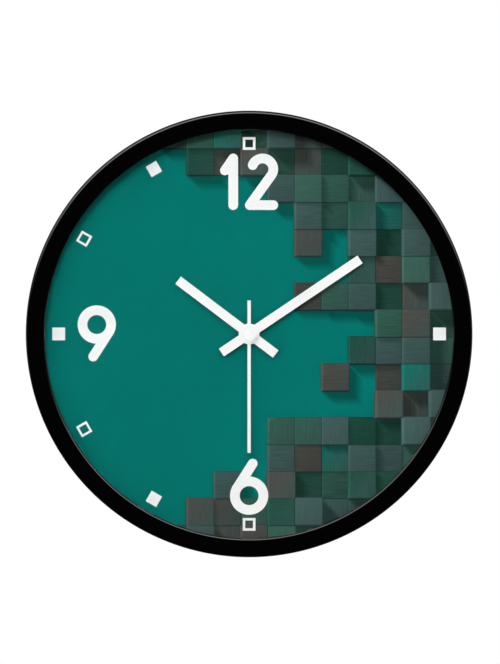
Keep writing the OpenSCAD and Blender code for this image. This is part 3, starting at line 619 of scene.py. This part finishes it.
        # The whole sheet: plain ground, blocks, their shadows, and bare card behind
        cloud = f.noise(place, 35.0)
        tooth = f.noise(place, 5200.0)
        ground = f.mixed((cloud - 0.3).clamped() * 0.12, sizes.ground, [c * 0.85 for c in sizes.ground])
        painted = f.mixed(height > lowest / 2, ground, faced)
        painted = f.mixed(shadow * 0.55, painted, [c * 0.12 for c in sizes.dark])
        card = f.mixed(cloud, sizes.card, [c * 0.85 for c in sizes.card])
        painted = f.mixed(depth > (DIAL_FACE + DIAL_BACK) / 2, painted, card)
        material = f.skin(
            Base_Color=painted,
            Roughness=(tooth - 0.5) * 0.16 + (cloud - 0.5) * 0.1 + 0.86,
            Specular_IOR_Level=0.01,
            Normal=f.bump(tooth, 0.000012),
        )
        dress(material, "dial")
        return {"FINISHED"}


def printed_ink(shade):
    """Screen-printed white: flat, slightly uneven cover over the sheet."""
    f = Finish("dial_ink")
    place = f.place()
    cover = f.noise(place, 420.0, detail=3.0)
    tooth = f.noise(place, 4200.0)
    return f.skin(
        Base_Color=f.mixed((cover - 0.4).clamped() * 0.2, shade, [c * 0.97 for c in shade]),
        Roughness=(cover - 0.5) * 0.2 + 0.75,
        Specular_IOR_Level=0.1,
        Normal=f.bump(tooth, 0.000008),
    )


class CLOCK_OT_numerals(bpy.types.Operator):
    """Lay the numerals 12, 6 and 9 on the dial as rounded strokes"""

    bl_idname = "clock.numerals"
    bl_label = "Lay Numerals"

    def execute(self, context):
        sizes = context.scene.clock_dial
        ink = printed_ink(sizes.ink)
        w = sizes.stroke_w
        foot, stem, flag = 0.0870, (-0.01073, 0.1185), (-0.0163, 0.1104)
        head, head_r, head_from, head_to = (0.0091, 0.1113), 0.0072, -36, 156
        lip, lip_end, shoulder = (0.00252, 0.11423), (0.00245, 0.1140), (0.01492, 0.10707)
        base, base_end = (0.0005, foot), (0.0163, foot)
        strokes = [
            stroke((stem[0], foot), stem, w),
            stroke(stem, flag, w),
            bow(head, head_r, head_from, head_to, w),
            stroke(lip, lip_end, w),
            stroke(shoulder, base, w),
            stroke(base, base_end, w),
        ]
        six_bowl, nine_bowl = (0, -0.1092), (-0.1029, 0.00633)
        twelve = united("numeral_twelve", strokes, sizes.print_t)
        six = united("numeral_six", self.looped(six_bowl, 1, w), sizes.print_t)
        nine = united("numeral_nine", self.looped(nine_bowl, -1, w), sizes.print_t)
        for numeral in (twelve, six, nine):
            hang(numeral, ink)
        return {"FINISHED"}

    def looped(self, bowl, way, width):
        """Strokes of a six, where the way is 1, or of a nine, where it is -1."""
        ring, half, lap = 0.00965, 180, 2
        reach, tip = (-0.00812, 0.0052), (0.0024, 0.0216)
        start = (bowl[0] + way * reach[0], bowl[1] + way * reach[1])
        end = (bowl[0] + way * tip[0], bowl[1] + way * tip[1])
        return [
            bow(bowl, ring, 0, half + lap, width),
            bow(bowl, ring, half - lap, 2 * half + lap, width),
            stroke(start, end, width),
        ]


class CLOCK_OT_marks(bpy.types.Operator):
    """Lay the open and filled square hour marks on the dial"""

    bl_idname = "clock.marks"
    bl_label = "Lay Hour Marks"

    def execute(self, context):
        sizes = context.scene.clock_dial
        ink = bpy.data.materials.get("dial_ink") or printed_ink(sizes.ink)
        quarter, hour = sizes.quarter_mark, sizes.hour_mark
        for at, side, line in (
            (12, quarter, sizes.quarter_line),
            (6, quarter, sizes.quarter_line),
            (3, quarter, 0),
            (9, quarter, 0),
            (11, hour, 0),
            (7, hour, 0),
            (10, hour, sizes.hour_line),
            (8, hour, sizes.hour_line),
        ):
            hang(self.square(at, side, line, sizes), ink)
        return {"FINISHED"}

    def square(self, at, side, line, sizes):
        """One square mark, turned to face the centre."""
        lean = math.tau * at / 12
        edge = side * 0.04
        fresh()
        bpy.ops.mesh.primitive_plane_add(
            size=side,
            location=(sizes.mark_circle * math.sin(lean), DIAL_FACE, sizes.mark_circle * math.cos(lean)),
            rotation=(math.pi / 2, lean, 0),
        )
        piece = settle(f"mark_{at:02d}")
        bpy.ops.object.mode_set(mode="EDIT")
        bpy.ops.mesh.select_all(action="SELECT")
        bpy.ops.mesh.inset(thickness=line or edge, use_even_offset=True)
        if line:
            bpy.ops.mesh.delete(type="FACE")
        bpy.ops.object.mode_set(mode="OBJECT")
        wall = piece.modifiers.new("wall", "SOLIDIFY")
        wall.thickness = sizes.print_t * (1 + SUNK)
        wall.offset = (1 - SUNK) / (1 + SUNK)
        pick(piece)
        bpy.ops.object.modifier_apply(modifier=wall.name)
        outward(piece)
        return piece


class CLOCK_OT_bezel(bpy.types.Operator):
    """Turn the black bezel with its rounded edges, glass ledge, skirt and screw bosses"""

    bl_idname = "clock.bezel"
    bl_label = "Turn Bezel"

    def execute(self, context):
        facets = 256
        piece = spun("bezel_ring", self.section(), facets)
        self.add_bosses(piece)
        outward(piece)
        bpy.ops.object.shade_smooth_by_angle(angle=SHARP)
        material = self.gloss(tuple(context.scene.clock_finish.gloss_black))
        hang(piece, material)
        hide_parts("bezel")
        dress(material, "bezel")
        return {"FINISHED"}

    def section(self):
        """Outline of the ring, with a guard point beside each rounding to keep flat faces flat."""
        outer_round, inner_round, rear_edge, lip_edge = 0.0022, 0.0016, 0.0004, 0.0001
        rim_wall, skirt_t, glass_room, band, guard = 0.0025, 0.0012, 0.00025, 0.0129, 0.00008
        outer, front, lip = CASE_R, CASE_FRONT, CASE_FRONT + LIP_T
        wall, opening = outer - rim_wall, outer - band
        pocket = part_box("lens")[1].x + glass_room
        skirt = pocket + skirt_t
        shoulder, bead = outer - outer_round, opening + inner_round
        return [
            (outer, -rear_edge),
            (outer, -rear_edge - guard),
            (outer, front + outer_round + guard),
            *rounding((shoulder, front + outer_round), outer_round, 0, -90),
            (shoulder - guard, front),
            (bead + guard, front),
            *rounding((bead, front + inner_round), inner_round, -90, -180),
            (opening, lip - lip_edge),
            (opening + lip_edge, lip),
            (pocket, lip),
            (pocket, DIAL_BACK),
            (skirt, DIAL_BACK),
            (skirt, lip),
            (wall, lip),
            (wall, -rear_edge),
            (wall + rear_edge, 0),
            (outer - rear_edge, 0),
        ]

    def add_bosses(self, piece):
        """Six bosses behind the lip, each with the hole of its screw."""
        count, boss_d, hole_d, screw_head_r = 6, 0.006, 0.0024, 0.00275
        tip_room, root = 0.001, 0.0002
        low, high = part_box("pan_screws")
        reach = high.x - screw_head_r
        turns = [math.tau * n / count for n in range(count)]
        spots = [(reach * math.cos(turn), reach * math.sin(turn)) for turn in turns]
        bosses = [peg(boss_d, spot, CASE_FRONT + LIP_T - root, DIAL_BACK) for spot in spots]
        combined(piece, bosses, "UNION")
        holes = [peg(hole_d, spot, low.y - tip_room, DIAL_BACK + tip_room) for spot in spots]
        combined(piece, holes, "DIFFERENCE")

    def gloss(self, shade):
        """Polished black with faint orange peel, wiped streaks and specks of dust."""
        f = Finish("gloss_black")
        place = f.place()
        peel = f.noise(place, 160.0)
        smear = f.noise(f.scaled(place, (14.0, 14.0, 22.0)), 1.0, detail=4.0, rough=0.6)
        dust = f.noise(place, 1900.0, rough=0.7)
        speck = ((dust - 0.68) * 8.0).clamped() * smear
        return f.skin(
            Base_Color=f.mixed(speck * 0.35, shade, (0.03, 0.03, 0.03)),
            Roughness=(smear - 0.5) * 0.03 + speck * 0.1 + 0.04,
            Specular_IOR_Level=0.5,
            Normal=f.bump(peel, 0.000006),
        )


class CLOCK_OT_glass(bpy.types.Operator):
    """Fit the clear pane and the black ring that spaces it from the dial"""

    bl_idname = "clock.glass"
    bl_label = "Fit Glass"

    def execute(self, context):
        shades = context.scene.clock_finish
        f = Finish("clear_glass")
        place = f.place()
        wave = f.noise(place, 9.0, detail=1.0)
        pane = f.node(
            "ShaderNodeBsdfPrincipled",
            {},
            {
                "Base Color": (0.992, 0.997, 0.995),
                "Roughness": 0.0,
                "IOR": 1.5,
                "Transmission Weight": 1.0,
                "Normal": f.bump(wave, 0.000004),
            },
        )
        clear = f.node("ShaderNodeBsdfTransparent", {}, {"Color": (0.985, 0.99, 0.988)})
        shaded = f.node("ShaderNodeLightPath", {}, {}, "Is Shadow Ray")
        both = f.node("ShaderNodeMixShader", {}, {0: shaded, 1: pane, 2: clear})
        f.node("ShaderNodeOutputMaterial", {}, {"Surface": both})
        dress(f.owner, "lens")
        satin = moulded("satin_black", tuple(shades.satin_black), 0.5, grain=0.00001, grain_size=0.0004)
        dress(satin, "spacer_ring")
        return {"FINISHED"}


class CLOCK_OT_hands(bpy.types.Operator):
    """Lacquer the hands and finish the parts that carry them"""

    bl_idname = "clock.hands"
    bl_label = "Finish Hands"

    def execute(self, context):
        shades = context.scene.clock_finish
        f = Finish("white_lacquer")
        place = f.place()
        peel = f.noise(place, 900.0)
        cloud = f.noise(place, 60.0, detail=3.0)
        shade = tuple(shades.hand_white)
        lacquer = f.skin(
            Base_Color=f.mixed((cloud - 0.4).clamped() * 0.25, shade, [c * 0.98 for c in shade]),
            Roughness=(cloud - 0.5) * 0.1 + (peel - 0.5) * 0.06 + 0.36,
            Specular_IOR_Level=0.25,
            Normal=f.bump(peel, 0.000008),
        )
        dress(lacquer, "hour_hand", "minute_hand", "second_hand", "second_cap")
        turned = (300.0, 9000.0, 300.0)
        brass = metal("brass", tuple(shades.brass), 0.26, lines=turned, line_depth=0.000006)
        dress(brass, "hour_collet", "minute_collet", "second_tube", "cannon_pinion")
        dress(brass, "centre_bush", "centre_nut", "nut_washer")
        return {"FINISHED"}


class CLOCK_OT_back(bpy.types.Operator):
    """Finish the back pan, its screws and the rubber washer"""

    bl_idname = "clock.back"
    bl_label = "Finish Back"

    def execute(self, context):
        shades = context.scene.clock_finish
        pan = moulded("pan_plastic", tuple(shades.pan_black), 0.55, grain=0.00004, grain_size=0.0007)
        dress(pan, "back_pan")
        zinc = metal("zinc", tuple(shades.zinc), 0.3, lines=(2500.0,) * 3, line_depth=0.000008)
        dress(zinc, "pan_screws")
        f = Finish("rubber")
        bloom = f.noise(f.place(), 180.0, detail=4.0, rough=0.6)
        rubber = f.skin(
            Base_Color=f.mixed((bloom - 0.4).clamped(), (0.012, 0.012, 0.012), (0.03, 0.03, 0.029)),
            Roughness=(bloom - 0.5) * 0.2 + 0.78,
            Normal=f.bump(bloom, 0.00003),
        )
        dress(rubber, "rubber_washer")
        return {"FINISHED"}


class CLOCK_OT_movement(bpy.types.Operator):
    """Finish the movement: housing, knob, wheels, motor and circuit"""

    bl_idname = "clock.movement"
    bl_label = "Finish Movement"

    def execute(self, context):
        shades = context.scene.clock_finish
        self.plastics(shades)
        self.metals()
        dress(self.wire(tuple(shades.copper)), "coil_winding")
        dress(self.board(tuple(shades.board)), "circuit_board")
        return {"FINISHED"}

    def plastics(self, shades):
        """Moulded parts: name, colour, roughness, depth and size of the grain, spread of the sheen."""
        housing = ("movement_case", "movement_cover")
        wheels = ("step_wheel", "second_wheel", "third_wheel", "centre_wheel", "minute_wheel", "hour_wheel")
        plate, bobbin, resin = (0.62, 0.62, 0.57), (0.72, 0.71, 0.63), (0.008, 0.008, 0.008)
        for name, shade, rough, grain, grain_size, spread, nodes in (
            ("movement_plastic", shades.movement_black, 0.42, 25e-6, 5e-4, 0.06, housing),
            ("knob_plastic", shades.knob_grey, 0.38, 20e-6, 4e-4, 0.06, ("setting_knob",)),
            ("nylon", shades.nylon, 0.4, 4e-6, 3e-4, 0.06, wheels),
            ("plate_plastic", plate, 0.45, 10e-6, 4e-4, 0.06, ("wheel_plate",)),
            ("bobbin_plastic", bobbin, 0.4, 6e-6, 3e-4, 0.06, ("coil_bobbin",)),
            ("epoxy", resin, 0.2, 8e-6, 9e-4, 0.1, ("controller_chip",)),
        ):
            dress(moulded(name, tuple(shade), rough, grain, grain_size, spread), *nodes)

    def metals(self):
        """Metal parts: name, colour, roughness, scale and depth of the drawn lines."""
        contacts = ("contact_positive", "contact_negative")
        for name, shade, rough, lines, line_depth, nodes in (
            ("soft_iron", (0.42, 0.43, 0.45), 0.38, (120.0, 4000.0, 4000.0), 6e-6, ("stator", "coil_core")),
            ("spring_steel", (0.62, 0.62, 0.6), 0.24, (3000.0, 200.0, 3000.0), 4e-6, contacts),
            ("quartz_can", (0.66, 0.67, 0.69), 0.2, (200.0, 5000.0, 5000.0), 4e-6, ("quartz_crystal",)),
            ("magnet", (0.2, 0.19, 0.185), 0.55, (2600.0,) * 3, 10e-6, ("rotor",)),
        ):
            dress(metal(name, shade, rough, lines, line_depth), *nodes)

    def wire(self, shade):
        """Layers of fine enamelled wire, turn beside turn, with painted shade in the grooves between turns
        and a painted highlight on their crowns.
        """
        f = Finish("copper")
        place = f.place()
        turns = f.node(
            "ShaderNodeTexWave",
            {"wave_type": "BANDS", "bands_direction": "X", "wave_profile": "SIN"},
            {"Vector": place, "Scale": 1900.0, "Distortion": 0.4, "Detail": 1.0},
            "Fac",
        )
        tarnish = f.noise(place, 420.0, detail=3.0)
        return f.skin(
            # Real tarnish, plus painted shade in the grooves between turns and a painted highlight on the
            # crowns, which follow each turn's wave
            Base_Color=f.mixed(tarnish * 0.6 + turns * 0.3, [c * 0.45 for c in shade], shade),
            Metallic=0.85,
            Roughness=(tarnish - 0.5) * 0.2 + 0.32,
            Normal=f.bump(turns, 0.00005),
        )

    def board(self, shade):
        """Solder mask with copper tracks under it."""
        f = Finish("board")
        place = f.place()
        lanes = f.node(
            "ShaderNodeTexBrick",
            {"offset": 0.5},
            {"Vector": place, "Scale": 420.0, "Mortar Size": 0.06, "Mortar Smooth": 0.1},
            "Fac",
        )
        cloud = f.noise(place, 300.0, detail=3.0)
        return f.skin(
            Base_Color=f.mixed(lanes * 0.8, shade, [min(1, c * 2.2 + 0.03) for c in shade]),
            Roughness=(cloud - 0.5) * 0.2 + 0.34,
            Coat_Weight=0.3,
            Normal=f.bump(lanes, 0.00002),
        )


class CLOCK_OT_battery(bpy.types.Operator):
    """Wrap the battery in its plain sleeve, with bare metal ends"""

    bl_idname = "clock.battery"
    bl_label = "Wrap Battery"

    def execute(self, context):
        shades = context.scene.clock_finish
        nub, bare_end, band_w, band_gap = 0.001, 0.0004, 0.0125, 0.0006
        steel, rubbed = (0.62, 0.62, 0.63), (0.3, 0.3, 0.3)
        low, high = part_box("battery")
        body_end = high.x - nub
        f = Finish("cell_sleeve")
        place = f.place()
        x = f.axes(place)[0]
        scuff = f.noise(f.scaled(place, (80.0, 900.0, 900.0)), 1.0, detail=4.0, rough=0.6)
        peel = f.noise(place, 1500.0)
        bare = ((x > body_end - bare_end) + (x < low.x + bare_end)).clamped()
        banded = (x > body_end - band_w) * (1.0 - (x > body_end - band_gap))
        worn = ((scuff - 0.62) * 6.0).clamped() * 0.4
        sleeve = f.mixed(banded, tuple(shades.jacket), tuple(shades.band))
        sleeve = f.mixed(worn, sleeve, rubbed)
        material = f.skin(
            Base_Color=f.mixed(bare, sleeve, steel),
            Metallic=bare + banded * 0.8 * (1.0 - bare),
            Roughness=(scuff - 0.5) * 0.16 + 0.3,
            Normal=f.bump(peel, 0.000006),
        )
        dress(material, "battery")
        return {"FINISHED"}


class CLOCK_OT_stage(bpy.types.Operator):
    """Set the camera, the lights, the white surroundings and the floor"""

    bl_idname = "clock.stage"
    bl_label = "Set Stage"

    def execute(self, context):
        sizes = context.scene.clock_stage
        scene = context.scene
        scene.view_settings.view_transform = "Standard"
        self.camera(scene, sizes)
        key_across, key_place = 0.24, (-0.2, -2.1, 0.5)
        key = self.lamp("key", "DISK", (key_across, key_across), sizes.key_watts, key_place)
        key.visible_glossy = False
        back_size, back_place = (2.6, 2.2), (0.8, 2.0, 1.3)
        self.lamp("back", "RECTANGLE", back_size, sizes.back_watts, back_place)
        self.surroundings(sizes)
        self.floor(sizes)
        return {"FINISHED"}

    def camera(self, scene, sizes):
        """Long lens straight in front, a hair off the clock's axis."""
        off_right, off_up = 0.0006, 0.0013
        view = bpy.data.cameras.new("view")
        view.lens = sizes.camera_lens
        view.sensor_width = 36.0
        view.clip_end = 50.0
        eye = bpy.data.objects.new("view", view)
        eye.location = (off_right, CASE_FRONT - sizes.camera_away, off_up)
        eye.rotation_euler = (math.pi / 2, 0, 0)
        scene.collection.objects.link(eye)
        scene.camera = eye

    def lamp(self, name, shape, size, watts, place):
        """Soft lamp aimed at the clock."""
        data = bpy.data.lights.new(name, "AREA")
        data.shape = shape
        data.size, data.size_y = size
        data.energy = watts
        lamp = bpy.data.objects.new(name, data)
        lamp.location = place
        lamp.rotation_euler = (-Vector(place)).to_track_quat("-Z", "Y").to_euler()
        bpy.context.scene.collection.objects.link(lamp)
        return lamp

    def surroundings(self, sizes):
        """White to the camera, a room with a bright strip to gloss and glass, even light to the rest."""
        world = bpy.data.worlds.new("surroundings")
        bpy.context.scene.world = world
        f = Finish("surroundings", world)
        way = f.node("ShaderNodeTexCoord", {}, {}, "Generated")
        x, depth, z = f.axes(way)
        seen = f.node("ShaderNodeLightPath", {}, {}, "Is Camera Ray")
        first_hit = seen.also("Diffuse Depth") < 0.5
        shiny = seen.also("Is Glossy Ray").most(seen.also("Is Transmission Ray")) * first_hit
        wall_glow, ceiling_glow, dark = 0.8, 0.5, 0.01
        behind = depth.rising(1 / 3, 1.0)
        walls = abs(x).rising(0.96, 1.0) * wall_glow
        ceiling = z.rising(0.6, 1.0) * depth.rising(-0.15, 0.1) * ceiling_glow
        strip_rise, strip_half_high, strip_half_wide = 0.8, 0.65, 2.6
        ahead = (depth * -1.0).most(0.001)
        off_up = (z / ahead - strip_rise) / strip_half_high
        off_side = x / ahead / strip_half_wide
        strip = (1.0 - off_up * off_up).clamped() * (1.0 - off_side * off_side).clamped()
        mirrored = behind.most(walls).most(ceiling).most(dark).most(strip * strip * sizes.strip_glow)
        even_side, even_front = 0.4, 1.2
        even = (depth * depth * even_front + even_side) * sizes.ambient
        level = seen + shiny * mirrored + (1.0 - seen.most(shiny)) * even
        glow = f.node("ShaderNodeBackground", {}, {"Color": (1, 1, 1), "Strength": level})
        f.node("ShaderNodeOutputWorld", {}, {"Surface": glow})

    def floor(self, sizes):
        """Pale floor well below the clock."""
        across, glow = 7.0, (0.55, 0.55, 0.55)
        fresh()
        bpy.ops.mesh.primitive_grid_add(
            x_subdivisions=8, y_subdivisions=8, size=across, location=(0, 0, -sizes.floor_drop)
        )
        floor = settle("floor")
        f = Finish("floor")
        cloud = f.noise(f.place(), 3.0, detail=3.0)
        shade = tuple(sizes.floor_tone)
        seen = f.node("ShaderNodeLightPath", {}, {}, "Is Camera Ray")
        material = f.skin(
            Base_Color=f.mixed((cloud - 0.4).clamped() * 0.2, shade, [c * 0.96 for c in shade]),
            Roughness=(cloud - 0.5) * 0.1 + 0.7,
            Specular_IOR_Level=0.2,
            Emission_Color=f.mixed(seen, (0, 0, 0), glow),
            Emission_Strength=1.0,
        )
        floor.data.materials.append(material)
        floor.visible_glossy = False
        floor.visible_transmission = False


STEPS = (
    CLOCK_OT_dial,
    CLOCK_OT_numerals,
    CLOCK_OT_marks,
    CLOCK_OT_bezel,
    CLOCK_OT_glass,
    CLOCK_OT_hands,
    CLOCK_OT_back,
    CLOCK_OT_movement,
    CLOCK_OT_battery,
    CLOCK_OT_stage,
)


class CLOCK_PT_looks(bpy.types.Panel):
    """Steps and settings of the clock's looks"""

    bl_idname = "CLOCK_PT_looks"
    bl_label = "Wall Clock"
    bl_space_type = "VIEW_3D"
    bl_region_type = "UI"
    bl_category = "Wall Clock"

    def draw(self, context):
        for step in STEPS:
            self.layout.operator(step.bl_idname)
        for name in ("clock_dial", "clock_finish", "clock_stage"):
            settings = getattr(context.scene, name)
            box = self.layout.box()
            for prop in settings.__annotations__:
                box.prop(settings, prop)


GROUPS = {
    "clock_dial": ClockDialSettings,
    "clock_finish": ClockFinishSettings,
    "clock_stage": ClockStageSettings,
}


def register():
    for name, group in GROUPS.items():
        bpy.utils.register_class(group)
        setattr(bpy.types.Scene, name, bpy.props.PointerProperty(type=group))
    for item in (*STEPS, CLOCK_PT_looks):
        bpy.utils.register_class(item)


def unregister():
    for item in (CLOCK_PT_looks, *reversed(STEPS)):
        bpy.utils.unregister_class(item)
    for name, group in GROUPS.items():
        delattr(bpy.types.Scene, name)
        bpy.utils.unregister_class(group)


def main():
    register()
    bpy.ops.clock.dial()
    bpy.ops.clock.numerals()
    bpy.ops.clock.marks()
    bpy.ops.clock.bezel()
    bpy.ops.clock.glass()
    bpy.ops.clock.hands()
    bpy.ops.clock.back()
    bpy.ops.clock.movement()
    bpy.ops.clock.battery()
    bpy.ops.clock.stage()


if __name__ == "__main__":
    main()
